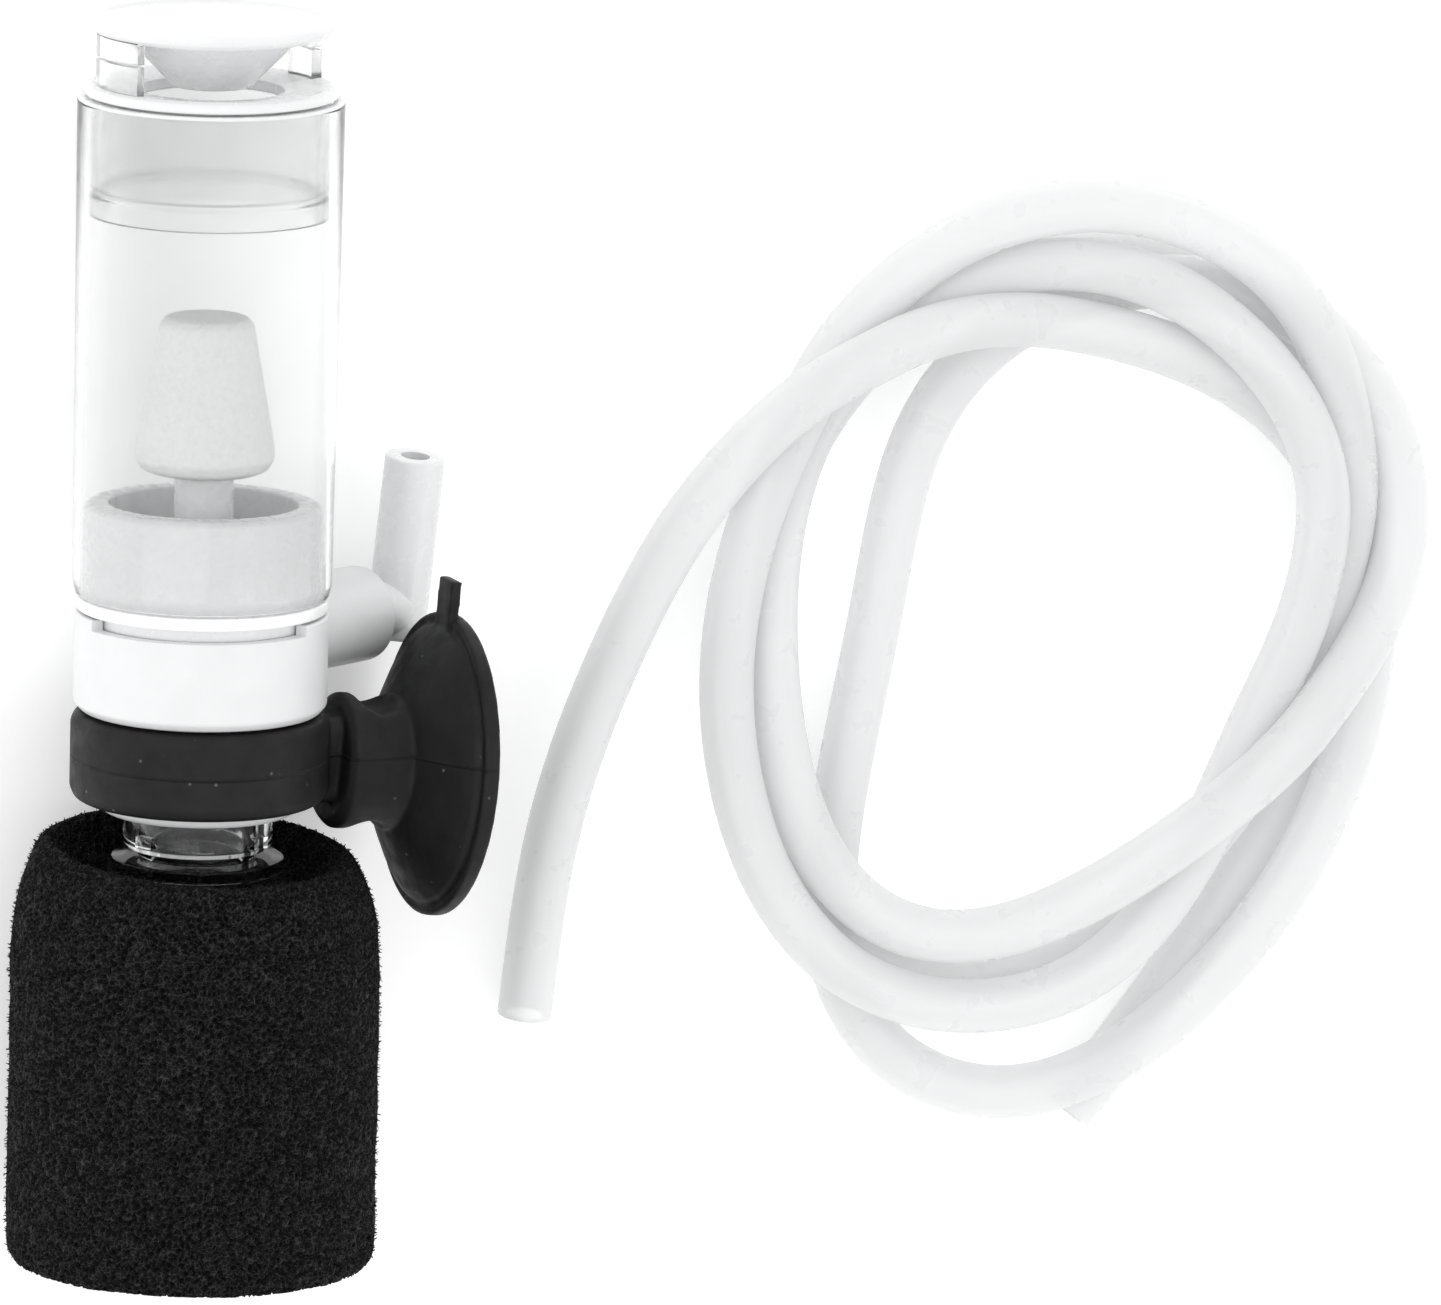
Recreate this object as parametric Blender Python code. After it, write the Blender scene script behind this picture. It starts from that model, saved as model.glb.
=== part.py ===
"""Air-driven sponge filter for a small aquarium, lying on its side beside its loose air hose.

Units are metres, +Z is up. The filter's axis lies along +Y, the outlet end at the far end, and it
rests on its foam. Each piece is modelled upright about its own Z axis, the foam end at 0, and is
laid down by the empty "filter_axis", whose local +Z becomes the world's +Y. The empty "layout"
puts the middle of the filter's own box over the origin.
"""

from math import atan2, cos, hypot, pi, radians, sin

import bmesh
import bpy
from mathutils import Matrix, Vector

MM = 0.001

# Driving dimensions, in millimetres. Heights (Z) are measured along the filter's axis.
GAP = 0.3
LAYOUT_OFFSET = (-5.805, -68.45, 0.0)
FOAM_R = 20.5
FOAM_TOP_Z = 46.0
FOAM_BORE_R = 8.2
FOAM_BORE_FLOOR_Z = 7.0
FOAM_BOWL_FLOOR_Z = 43.4

CORE_R = 7.8
CORE_BOTTOM_Z = 8.0
CORE_FLANGE_Z = (43.8, 45.2)
CORE_FLANGE_R = 9.4
CORE_SLOTS = 8
CORE_SLOT_Z = (13.0, 38.0)
CORE_SLOT_WIDTH = 2.2

NECK_R = 8.1
NECK_Z = (46.2, 53.5)
NECK_LUGS = 4

THROAT_R = 10.6
BASE_Z = 50.2
BAND_R = 13.7
BAND_Z = (61.3, 72.1)
WINDOW_FLOOR_Z = 71.0
WINDOW_ARC = 115.0
WINDOW_AZIMUTH = -110.0
CUP_BORE_R = 12.3
HUB_R = 3.3
HUB_Z = (64.8, 73.8)

SOCKET_AZIMUTH = 30.0
SOCKET_Z = 68.4
SOCKET_R = 5.25
SOCKET_END = 25.9
SOCKET_BORE_R = 3.2
ELBOW_SPIGOT_R = 2.9
ELBOW_SPIGOT_START = 16.0
ELBOW_R = 3.3
ELBOW_BORE_R = 1.6
ELBOW_OUT = 32.1
ELBOW_BELOW = 3.3
ELBOW_ABOVE = 17.0
ELBOW_SWIVEL = 7.0

SEAT_FLANGE_Z = (72.4, 73.8)
SEAT_FLANGE_R = 13.6
SPIGOT_R = 12.9
SPIGOT_BORE_R = 10.2
SPIGOT_TOP_Z = 84.2

TUBE_Z = (74.1, 128.2)
TUBE_BORE_R = 13.2
TUBE_BOTTOM_R = 14.05
TUBE_TOP_R = 14.4

STEM_R = 3.2
STEM_NIPPLE_R = 2.0
STEM_BORE_R = 0.9
STEM_Z = (70.3, 74.1, 87.1, 96.0)
STONE_Z = (87.5, 88.9, 104.3)
STONE_R = (6.3, 7.6, 5.05)
STONE_BORE_R = 2.3
STONE_BORE_TOP_Z = 97.0

COLLAR_R = 13.65
COLLAR_Z = (115.5, 128.5, 129.7)
COLLAR_HOLE_R = 7.8
SLEEVE_R = 12.9
SLEEVE_WALL = 1.1
POST_R = (11.6, 12.8)
POST_ARCS = ((16.0, 22.0), (195.0, 37.0))
CAP_Z = (129.4, 135.7, 136.9)
CAP_R = 13.35
CAP_NECK_R = 9.5
CAP_TIP_R = 4.5

CLIP_Z = (51.4, 61.0)
CLIP_R = 13.95
CLIP_BORE_R = 10.9
ARM_AZIMUTH = 2.0
ARM_DROOP = 5.0
ARM_WIDTH = 8.0
CUP_HUB_R = 7.4
CUP_HUB = (17.2, 22.6)
CUP_CONE = (21.7, 26.6)
CUP_RIM_R = 16.5
CUP_RIM_END = 28.6
CUP_FACE_R = 14.7

HOSE_R = 3.0
COIL_CENTRE = (105.3, 60.1)
COIL_HEIGHT = 17.0
# Inner and outer radius of the bundle at each 30 degrees, counter-clockwise from +X.
COIL_OUTLINE = (
    (24, 41), (33, 49), (33, 52), (34, 53), (38, 50), (35, 45),
    (31, 43), (31, 44), (34, 51), (27, 54), (23, 46), (22, 41),
)
# The free end of the hose up to where it runs onto the coil, and the strand across the coil.
TAIL_ROUTE = (
    (44.1, 21.3, 3.05), (44.9, 31.5, 3.05), (46.5, 42.6, 3.05), (48.2, 47.9, 3.05),
    (51.0, 56.8, 3.2), (54.3, 65.5, 4.0), (58.1, 73.3, 6.0),
)
CHORD_ROUTE = (
    (91.0, 92.0, 3.2), (87.4, 85.2, 3.1), (85.7, 77.4, 3.05), (84.5, 66.2, 3.05),
    (82.8, 55.0, 3.05), (81.3, 47.2, 3.05),
)


def clear_scene():
    for old in list(bpy.data.objects):
        bpy.data.objects.remove(old, do_unlink=True)


def material(name, colour, roughness, alpha=1.0):
    made = bpy.data.materials.new(name)
    made.use_nodes = True
    shader = made.node_tree.nodes["Principled BSDF"]
    shader.inputs["Base Color"].default_value = (*colour, 1.0)
    shader.inputs["Roughness"].default_value = roughness
    shader.inputs["Metallic"].default_value = 0.0
    shader.inputs["Alpha"].default_value = alpha
    return made


def new_object(name, bm, shade=35.0):
    """An object from a bmesh in millimetres, scaled to metres, with outward normals."""
    bmesh.ops.scale(bm, vec=(MM, MM, MM), verts=bm.verts)
    bmesh.ops.recalc_face_normals(bm, faces=bm.faces)
    mesh = bpy.data.meshes.new(name)
    bm.to_mesh(mesh)
    bm.free()
    mesh.shade_smooth()
    mesh.set_sharp_from_angle(angle=radians(shade))
    made = bpy.data.objects.new(name, mesh)
    bpy.context.collection.objects.link(made)
    return made


def turned(profile, segments=36):
    """A bmesh turned about Z from a closed (radius, height) outline; points on the axis weld."""
    bm = bmesh.new()
    rings = []
    for r, z in profile:
        if r < 1e-6:
            rings.append([bm.verts.new((0, 0, z))])
            continue
        step = 2 * pi / segments
        rings.append([bm.verts.new((r * cos(k * step), r * sin(k * step), z)) for k in range(segments)])
    for a, b in zip(rings, rings[1:] + rings[:1]):
        for k in range(segments):
            n = (k + 1) % segments
            corners = [a[k % len(a)], a[n % len(a)], b[n % len(b)], b[k % len(b)]]
            corners = list(dict.fromkeys(corners))
            if len(corners) > 2:
                bm.faces.new(corners)
    return bm


def block(low, high):
    bm = bmesh.new()
    bmesh.ops.create_cube(bm, size=1.0)
    size = Vector(high) - Vector(low)
    bmesh.ops.scale(bm, vec=size, verts=bm.verts)
    bmesh.ops.translate(bm, vec=(Vector(high) + Vector(low)) / 2, verts=bm.verts)
    return bm


def rod(start, end, radius, segments=24):
    """A cylinder between two points."""
    a, b = Vector(start), Vector(end)
    bm = bmesh.new()
    bmesh.ops.create_cone(
        bm, cap_ends=True, segments=segments, radius1=radius, radius2=radius, depth=(b - a).length
    )
    turn = Vector((0, 0, 1)).rotation_difference(b - a).to_matrix().to_4x4()
    bmesh.ops.transform(bm, matrix=Matrix.Translation((a + b) / 2) @ turn, verts=bm.verts)
    return bm


def arc_plate(r_in, r_out, z0, z1, middle, width, steps=8):
    """A curved plate: a sector of a ring, its middle and width in degrees."""
    bm = bmesh.new()
    sections = []
    for k in range(steps + 1):
        a = radians(middle - width / 2 + width * k / steps)
        corners = ((r_in, z0), (r_out, z0), (r_out, z1), (r_in, z1))
        sections.append([bm.verts.new((r * cos(a), r * sin(a), z)) for r, z in corners])
    for a, b in zip(sections, sections[1:]):
        for k in range(4):
            bm.faces.new((a[k], a[(k + 1) % 4], b[(k + 1) % 4], b[k]))
    bm.faces.new(sections[0])
    bm.faces.new(sections[-1])
    return bm


def turn_about_z(bm, degrees):
    bmesh.ops.rotate(bm, cent=(0, 0, 0), matrix=Matrix.Rotation(radians(degrees), 3, "Z"), verts=bm.verts)
    return bm


def combine(target, tools, operation):
    """Joins solids to the target, or cuts them away, and leaves one plain mesh."""
    for tool_mesh in tools:
        tool = new_object(target.name + "_tool", tool_mesh)
        step = target.modifiers.new(operation.lower(), "BOOLEAN")
        step.operation = operation
        step.object = tool
        bpy.context.view_layer.update()
        result = bpy.data.meshes.new_from_object(
            target.evaluated_get(bpy.context.evaluated_depsgraph_get())
        )
        target.modifiers.remove(step)
        target.data = result
        bpy.data.objects.remove(tool, do_unlink=True)
    target.data.shade_smooth()
    target.data.set_sharp_from_angle(angle=radians(35))
    return target


def add_empty(name, parent, at):
    made = bpy.data.objects.new(name, None)
    bpy.context.collection.objects.link(made)
    made.parent = parent
    made.location = Vector(at) * MM
    return made


def finish(made, parent, look):
    made.parent = parent
    made.data.materials.clear()
    made.data.materials.append(look)
    return made


def sponge(parent, look):
    """The foam block: a rounded cylinder with a bowl in its top and a blind bore for the core."""
    profile = [
        (0, 0), (18.6, 0), (19.8, 0.5), (20.4, 1.8), (FOAM_R, 4), (FOAM_R, 31.5), (20.4, 34),
        (20.0, 38), (19.3, 41.3), (18.2, 44.2), (17.0, 45.6), (15.9, FOAM_TOP_Z), (15.0, 45.4),
        (13.8, 43.2), (12.4, 41.4), (11.0, 41.2), (10.1, 42.2), (9.8, FOAM_BOWL_FLOOR_Z),
        (FOAM_BORE_R, FOAM_BOWL_FLOOR_Z), (FOAM_BORE_R, FOAM_BORE_FLOOR_Z), (0, FOAM_BORE_FLOOR_Z),
    ]
    return finish(new_object("sponge", turned(profile)), parent, look)


def strainer_core(parent, look):
    """The slotted tube inside the foam, closed below, with a flange and a short spigot on top."""
    low, high = CORE_FLANGE_Z
    profile = [
        (0, CORE_BOTTOM_Z), (CORE_R, CORE_BOTTOM_Z), (CORE_R, low), (CORE_FLANGE_R, low),
        (CORE_FLANGE_R, high), (6.3, high), (6.3, 49.6), (5.1, 49.6), (5.1, 42.6),
        (CORE_R - 1.3, 41.0), (CORE_R - 1.3, CORE_BOTTOM_Z + 1.4), (0, CORE_BOTTOM_Z + 1.4),
    ]
    body = new_object("strainer_core", turned(profile, 24))
    slots = []
    for k in range(CORE_SLOTS):
        half = CORE_SLOT_WIDTH / 2
        slot = block((5.0, -half, CORE_SLOT_Z[0]), (9.0, half, CORE_SLOT_Z[1]))
        slots.append(turn_about_z(slot, 360 * (k + 0.5) / CORE_SLOTS))
    return finish(combine(body, slots, "DIFFERENCE"), parent, look)


def coupling_neck(parent, look):
    """The clear neck under the base, with the small lugs that the core locks onto."""
    low, high = NECK_Z
    profile = [
        (6.6, low), (NECK_R - 0.5, low), (NECK_R, low + 0.6), (NECK_R, high), (6.6, high),
    ]
    body = new_object("coupling_neck", turned(profile, 24))
    lugs = []
    for k in range(NECK_LUGS):
        lug = block((NECK_R - 0.7, -1.1, low + 1.0), (NECK_R + 0.9, 1.1, low + 2.2))
        lugs.append(turn_about_z(lug, 360 * (k + 0.35) / NECK_LUGS))
    return finish(combine(body, lugs, "UNION"), parent, look)


def base_cup(parent, look):
    """The white base: throat, band, air socket on one side, and a hub that feeds the stone."""
    low, high = BAND_Z
    profile = [
        (8.5, BASE_Z), (THROAT_R - 0.4, BASE_Z), (THROAT_R, BASE_Z + 0.4), (THROAT_R, low),
        (BAND_R - 0.8, low), (BAND_R - 0.2, low + 0.25), (BAND_R, low + 0.9), (BAND_R, high),
        (CUP_BORE_R, high), (CUP_BORE_R, low + 2.0), (9.6, low + 0.6), (8.5, low - 1.0),
    ]
    body = new_object("base_cup", turned(profile, 40))
    out = Vector((cos(radians(SOCKET_AZIMUTH)), sin(radians(SOCKET_AZIMUTH)), 0))
    at = Vector((0, 0, SOCKET_Z))
    boss = rod(at + out * 12.9, at + out * SOCKET_END, SOCKET_R, 24)
    bar = rod(at, at + out * 13.0, 2.0, 12)
    hub = turned([(0, HUB_Z[0]), (HUB_R, HUB_Z[0]), (HUB_R, HUB_Z[1]), (0, HUB_Z[1])], 20)
    combine(body, [bar, hub, boss], "UNION")
    socket_bore = rod(at + out * (ELBOW_SPIGOT_START - GAP), at + out * (SOCKET_END + 1), SOCKET_BORE_R, 20)
    channel = rod(at - out * 0.1, at + out * 16.5, 1.2, 8)
    riser = rod((0, 0, SOCKET_Z - 0.1), (0, 0, high + 3), 1.0, 8)
    stem_seat = rod((0, 0, STEM_Z[0] - GAP), (0, 0, high + 3), STEM_NIPPLE_R + GAP, 16)
    window = arc_plate(12.0, 15.0, WINDOW_FLOOR_Z, high + 1, WINDOW_AZIMUTH, WINDOW_ARC, 12)
    around_seat = turned([(12.6, high), (BAND_R + GAP, high), (BAND_R + GAP, high + 3), (12.6, high + 3)], 40)
    cutters = [socket_bore, channel, riser, stem_seat, window, around_seat]
    return finish(combine(body, cutters, "DIFFERENCE"), parent, look)


def tube_seat(parent, look):
    """The insert on the base: a flange ring, the spigot inside the riser tube and a short skirt."""
    low, high = SEAT_FLANGE_Z
    profile = [
        (SPIGOT_BORE_R, 70.8), (CUP_BORE_R - GAP, 70.8), (CUP_BORE_R - GAP, low),
        (SEAT_FLANGE_R - 0.2, low), (SEAT_FLANGE_R, low + 0.2), (SEAT_FLANGE_R, high - 0.3),
        (SEAT_FLANGE_R - 0.3, high), (SPIGOT_R, high), (SPIGOT_R, SPIGOT_TOP_Z - 0.6),
        (SPIGOT_R - 0.5, SPIGOT_TOP_Z), (SPIGOT_BORE_R, SPIGOT_TOP_Z),
    ]
    return finish(new_object("tube_seat", turned(profile, 36)), parent, look)


def riser_tube(parent, look):
    """The clear riser tube, slightly wider at its top, with a chamfered bottom edge."""
    low, high = TUBE_Z
    profile = [
        (TUBE_BORE_R, low), (TUBE_BOTTOM_R - 0.35, low), (TUBE_BOTTOM_R, low + 1.4),
        (TUBE_TOP_R, high - 0.4), (TUBE_TOP_R - 0.35, high), (TUBE_BORE_R, high),
    ]
    return finish(new_object("riser_tube", turned(profile, 40)), parent, look)


def stone_stem(parent, look):
    """The hollow stem between the base's hub and the air stone."""
    z0, z1, z2, z3 = STEM_Z
    profile = [
        (STEM_BORE_R, z0), (STEM_NIPPLE_R, z0), (STEM_NIPPLE_R, z1), (STEM_R, z1), (STEM_R, z2),
        (STEM_NIPPLE_R, z2), (STEM_NIPPLE_R, z3), (STEM_BORE_R, z3),
    ]
    return finish(new_object("stone_stem", turned(profile, 16)), parent, look)


def air_stone(parent, look):
    """The tapered stone, with a blind bore that pushes onto the stem."""
    z0, z1, z2 = STONE_Z
    r0, r1, r2 = STONE_R
    profile = [
        (STONE_BORE_R, z0), (r0, z0), (r1, z1), (r2, z2 - 0.6), (r2 - 0.6, z2), (0, z2),
        (0, STONE_BORE_TOP_Z), (STONE_BORE_R, STONE_BORE_TOP_Z),
    ]
    return finish(new_object("air_stone", turned(profile, 24)), parent, look)


def outlet_collar(parent, look):
    """The collar in the tube's mouth, with a grooved sleeve, an outlet hole and two curved posts."""
    low, rest, top = COLLAR_Z
    inner = SLEEVE_R - SLEEVE_WALL
    profile = [
        (inner, low), (SLEEVE_R, low), (SLEEVE_R, low + 2.2), (SLEEVE_R - 0.35, low + 2.4),
        (SLEEVE_R - 0.35, low + 2.9), (SLEEVE_R, low + 3.1), (SLEEVE_R, rest), (COLLAR_R, rest),
        (COLLAR_R, top - 0.7), (COLLAR_R - 0.3, top - 0.25), (COLLAR_R - 0.9, top), (COLLAR_HOLE_R, top - 0.6),
        (COLLAR_HOLE_R, top - 1.8), (inner - 0.6, top - 1.8), (inner, top - 2.4),
    ]
    body = new_object("outlet_collar", turned(profile, 36))
    posts = []
    for middle, width in POST_ARCS:
        posts.append(arc_plate(*POST_R, top - 0.7, 132.7, middle, width, 4))
    return finish(combine(body, posts, "UNION"), parent, look)


def deflector_cap(parent, look):
    """The dished cap over the outlet: a raised lip, a conical underside and two short post stubs."""
    tip, under, top = CAP_Z
    profile = [
        (0, tip), (CAP_TIP_R - 0.5, tip), (CAP_TIP_R, tip + 0.3), (CAP_NECK_R, under - 0.9),
        (12.6, under - 0.5), (CAP_R - 0.2, under), (CAP_R, under + 0.4), (CAP_R, top - 0.3),
        (CAP_R - 0.35, top), (CAP_R - 0.95, top), (CAP_R - 1.4, top - 0.45), (6.0, top - 0.85), (0, top - 0.95),
    ]
    body = new_object("deflector_cap", turned(profile, 36))
    stubs = []
    for middle, width in POST_ARCS:
        stubs.append(arc_plate(*POST_R, 132.7 + GAP, under + 0.2, middle, width, 4))
    return finish(combine(body, stubs, "UNION"), parent, look)


def air_elbow(parent, look):
    """The elbow whose spigot turns in the base's socket; its origin is on the socket's axis."""
    spin = add_empty("elbow_axis", parent, (0, 0, SOCKET_Z))
    turn = Matrix.Rotation(radians(SOCKET_AZIMUTH), 4, "Z") @ Matrix.Rotation(radians(ELBOW_SWIVEL), 4, "X")
    spin.rotation_euler = turn.to_euler()
    body = new_object("air_elbow", rod((ELBOW_OUT, 0, -ELBOW_BELOW), (ELBOW_OUT, 0, ELBOW_ABOVE), ELBOW_R, 20))
    shank = rod((SOCKET_END + GAP, 0, 0), (ELBOW_OUT, 0, 0), ELBOW_R - 0.05, 20)
    spigot = rod((ELBOW_SPIGOT_START, 0, 0), (ELBOW_OUT, 0, 0), ELBOW_SPIGOT_R, 16)
    combine(body, [shank, spigot], "UNION")
    bore_up = rod((ELBOW_OUT, 0, -ELBOW_BORE_R), (ELBOW_OUT, 0, ELBOW_ABOVE + 1), ELBOW_BORE_R, 12)
    bore_in = rod((ELBOW_SPIGOT_START - 1, 0, 0), (ELBOW_OUT, 0, 0), ELBOW_BORE_R - 0.1, 12)
    return finish(combine(body, [bore_up, bore_in], "DIFFERENCE"), spin, look)


def suction_bracket(parent, look):
    """One rubber moulding: clip ring, arm, scalloped hub and suction cup, aimed along local +X."""
    aim = add_empty("bracket_axis", parent, (0, 0, sum(CLIP_Z) / 2))
    aim.rotation_euler = (0, 0, radians(ARM_AZIMUTH))
    half = (CLIP_Z[1] - CLIP_Z[0]) / 2
    ring = [
        (CLIP_BORE_R, -half), (CLIP_R - 1.3, -half), (CLIP_R - 0.45, 0.4 - half), (CLIP_R, 1.4 - half),
        (CLIP_R, half - 1.0), (CLIP_R - 0.4, half - 0.2), (CLIP_R - 1.0, half), (CLIP_BORE_R, half),
    ]
    body = new_object("suction_bracket", turned(ring, 40))
    cup = [
        (0, CUP_HUB[0]), (CUP_HUB_R - 0.4, CUP_HUB[0]), (CUP_HUB_R, CUP_HUB[0] + 0.4),
        (CUP_HUB_R, CUP_CONE[0]), (10.6, 23.4), (13.8, 25.1), (CUP_RIM_R - 0.3, CUP_CONE[1]),
        (CUP_RIM_R, CUP_CONE[1] + 0.4), (CUP_RIM_R, CUP_RIM_END - 0.3), (CUP_RIM_R - 0.3, CUP_RIM_END),
        (CUP_FACE_R, CUP_RIM_END), (12.8, 27.4), (9.2, 26.1), (5.0, 25.4), (0, 25.2),
    ]
    droop = Matrix.Rotation(radians(90 + ARM_DROOP), 4, "Y")
    head = turned(cup, 36)
    bmesh.ops.transform(head, matrix=droop, verts=head.verts)
    arm = block((CLIP_R - 1.6, -ARM_WIDTH / 2, -half), (CUP_HUB[0] + 1.0, ARM_WIDTH / 2, half))
    edges = [e for e in arm.edges if abs((e.verts[0].co - e.verts[1].co).x) > 1.0]
    bmesh.ops.bevel(arm, geom=edges, offset=1.6, segments=3, affect="EDGES", profile=0.5)
    lean = Matrix.Rotation(radians(ARM_DROOP * 0.6), 4, "Y")
    bmesh.ops.transform(arm, matrix=lean, verts=arm.verts)
    tab = block((26.4, -2.0, 15.2), (27.6, 2.0, 20.4))
    bmesh.ops.transform(tab, matrix=Matrix.Rotation(radians(ARM_DROOP), 4, "Y"), verts=tab.verts)
    combine(body, [arm, head, tab], "UNION")
    scallops = []
    for side in (1, -1):
        notch = rod((CUP_HUB[0] - 0.6, -9, side * 8.6), (CUP_HUB[0] - 0.6, 9, side * 8.6), 2.6, 16)
        bmesh.ops.transform(notch, matrix=Matrix.Rotation(radians(ARM_DROOP), 4, "Y"), verts=notch.verts)
        scallops.append(notch)
    return finish(combine(body, scallops, "DIFFERENCE"), aim, look)


def smooth_line(points, count):
    """Evenly numbered points on a Catmull-Rom curve through the given ones."""
    ends = [tuple(2 * a - b for a, b in zip(points[0], points[1]))]
    ends += list(points)
    ends.append(tuple(2 * a - b for a, b in zip(points[-1], points[-2])))
    line = []
    for k in range(count):
        at = k / (count - 1) * (len(points) - 1)
        i = min(int(at), len(points) - 2)
        t = at - i
        p = [Vector(q) for q in ends[i:i + 4]]
        line.append(0.5 * (
            2 * p[1] + (p[2] - p[0]) * t
            + (2 * p[0] - 5 * p[1] + 4 * p[2] - p[3]) * t ** 2
            + (3 * p[1] - p[0] - 3 * p[2] + p[3]) * t ** 3
        ))
    return line


def hose_tube(name, parent, route, count, look):
    """A plain tube along a route, as a curve with a round bevel and filled ends."""
    curve = bpy.data.curves.new(name, "CURVE")
    curve.dimensions = "3D"
    curve.bevel_depth = HOSE_R * MM
    curve.bevel_resolution = 2
    curve.use_fill_caps = True
    spline = curve.splines.new("POLY")
    spline.points.add(count - 1)
    for place, at in zip(spline.points, smooth_line(route, count)):
        place.co = (*(at * MM), 1.0)
    made = bpy.data.objects.new(name, curve)
    bpy.context.collection.objects.link(made)
    return finish(made, parent, look)


def hose_coil(parent, look):
    """The bundle of turns as one solid: an egg-shaped ring with a chamfered section."""
    stations = 36
    around = len(COIL_OUTLINE)
    bm = bmesh.new()
    sections = []
    for k in range(stations):
        at = k * around / stations
        i = int(at)
        t = at - i
        p = [COIL_OUTLINE[(i + n) % around] for n in (-1, 0, 1, 2)]
        inner, outer = (
            0.5 * (2 * p[1][n] + (p[2][n] - p[0][n]) * t
                   + (2 * p[0][n] - 5 * p[1][n] + 4 * p[2][n] - p[3][n]) * t ** 2
                   + (3 * p[1][n] - p[0][n] - 3 * p[2][n] + p[3][n]) * t ** 3)
            for n in (0, 1)
        )
        cut = 2.0
        section = (
            (inner + cut, 0), (outer - cut, 0), (outer, cut), (outer, 8.0),
            (outer - 4.0, COIL_HEIGHT), (inner + 4.0, COIL_HEIGHT), (inner, 8.0), (inner, cut),
        )
        a = 2 * pi * k / stations
        cx, cy = COIL_CENTRE
        sections.append([bm.verts.new((cx + r * cos(a), cy + r * sin(a), z)) for r, z in section])
    for a, b in zip(sections, sections[1:] + sections[:1]):
        for k in range(8):
            bm.faces.new((a[k], a[(k + 1) % 8], b[(k + 1) % 8], b[k]))
    return finish(new_object("hose_coil", bm), parent, look)


def main():
    clear_scene()
    foam = material("black_foam", (0.02, 0.02, 0.022), 0.95)
    rubber = material("black_rubber", (0.045, 0.045, 0.047), 0.6)
    white = material("white_plastic", (0.86, 0.87, 0.87), 0.35)
    clear = material("clear_plastic", (0.9, 0.92, 0.93), 0.12, 0.35)
    stone = material("grey_stone", (0.72, 0.73, 0.73), 0.9)
    vinyl = material("hose_vinyl", (0.88, 0.9, 0.91), 0.3, 0.6)

    layout = add_empty("layout", None, LAYOUT_OFFSET)
    axis = add_empty("filter_axis", layout, (0, 0, FOAM_R))
    axis.rotation_euler = (radians(-90), 0, 0)

    sponge(axis, foam)
    strainer_core(axis, clear)
    coupling_neck(axis, clear)
    base_cup(axis, white)
    tube_seat(axis, white)
    riser_tube(axis, clear)
    stone_stem(axis, white)
    air_stone(axis, stone)
    outlet_collar(axis, clear)
    deflector_cap(axis, clear)
    air_elbow(axis, clear)
    suction_bracket(axis, rubber)
    hose_coil(layout, vinyl)
    hose_tube("hose_tail", layout, TAIL_ROUTE, 16, vinyl)
    hose_tube("hose_chord", layout, CHORD_ROUTE, 16, vinyl)


main()
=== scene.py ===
"""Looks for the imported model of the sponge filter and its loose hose, in the model's own frame."""

from math import cos, hypot, pi, radians, sin

import bmesh
import bpy
import numpy as np
from mathutils import Matrix, Vector, kdtree, noise


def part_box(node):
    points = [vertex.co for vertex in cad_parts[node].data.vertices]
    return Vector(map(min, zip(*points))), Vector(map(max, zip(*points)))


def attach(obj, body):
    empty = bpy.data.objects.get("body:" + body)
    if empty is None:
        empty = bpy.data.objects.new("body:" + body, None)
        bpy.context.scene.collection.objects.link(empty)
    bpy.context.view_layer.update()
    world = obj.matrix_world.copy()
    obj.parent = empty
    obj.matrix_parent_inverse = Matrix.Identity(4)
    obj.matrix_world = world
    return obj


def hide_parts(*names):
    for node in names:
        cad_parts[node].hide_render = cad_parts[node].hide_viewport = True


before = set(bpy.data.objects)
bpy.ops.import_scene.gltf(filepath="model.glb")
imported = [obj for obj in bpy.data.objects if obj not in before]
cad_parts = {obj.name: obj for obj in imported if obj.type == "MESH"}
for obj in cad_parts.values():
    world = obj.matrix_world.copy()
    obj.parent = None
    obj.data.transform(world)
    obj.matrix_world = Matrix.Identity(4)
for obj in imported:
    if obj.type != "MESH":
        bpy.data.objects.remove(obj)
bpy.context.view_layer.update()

MM = 0.001
FOAM_R = 20.5
LOW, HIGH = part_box("sponge")
BASE = Vector(((LOW.x + HIGH.x) / 2, LOW.y, 0.0))
# Turns a piece modelled upright in millimetres about its own axis into its place in the frame.
AXIS = (
    Matrix.Translation(BASE + Vector((0, 0, FOAM_R * MM)))
    @ Matrix.Rotation(radians(-90), 4, "X")
    @ Matrix.Scale(MM, 4)
)
FLAT = Matrix.Translation(BASE) @ Matrix.Scale(MM, 4)

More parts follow.
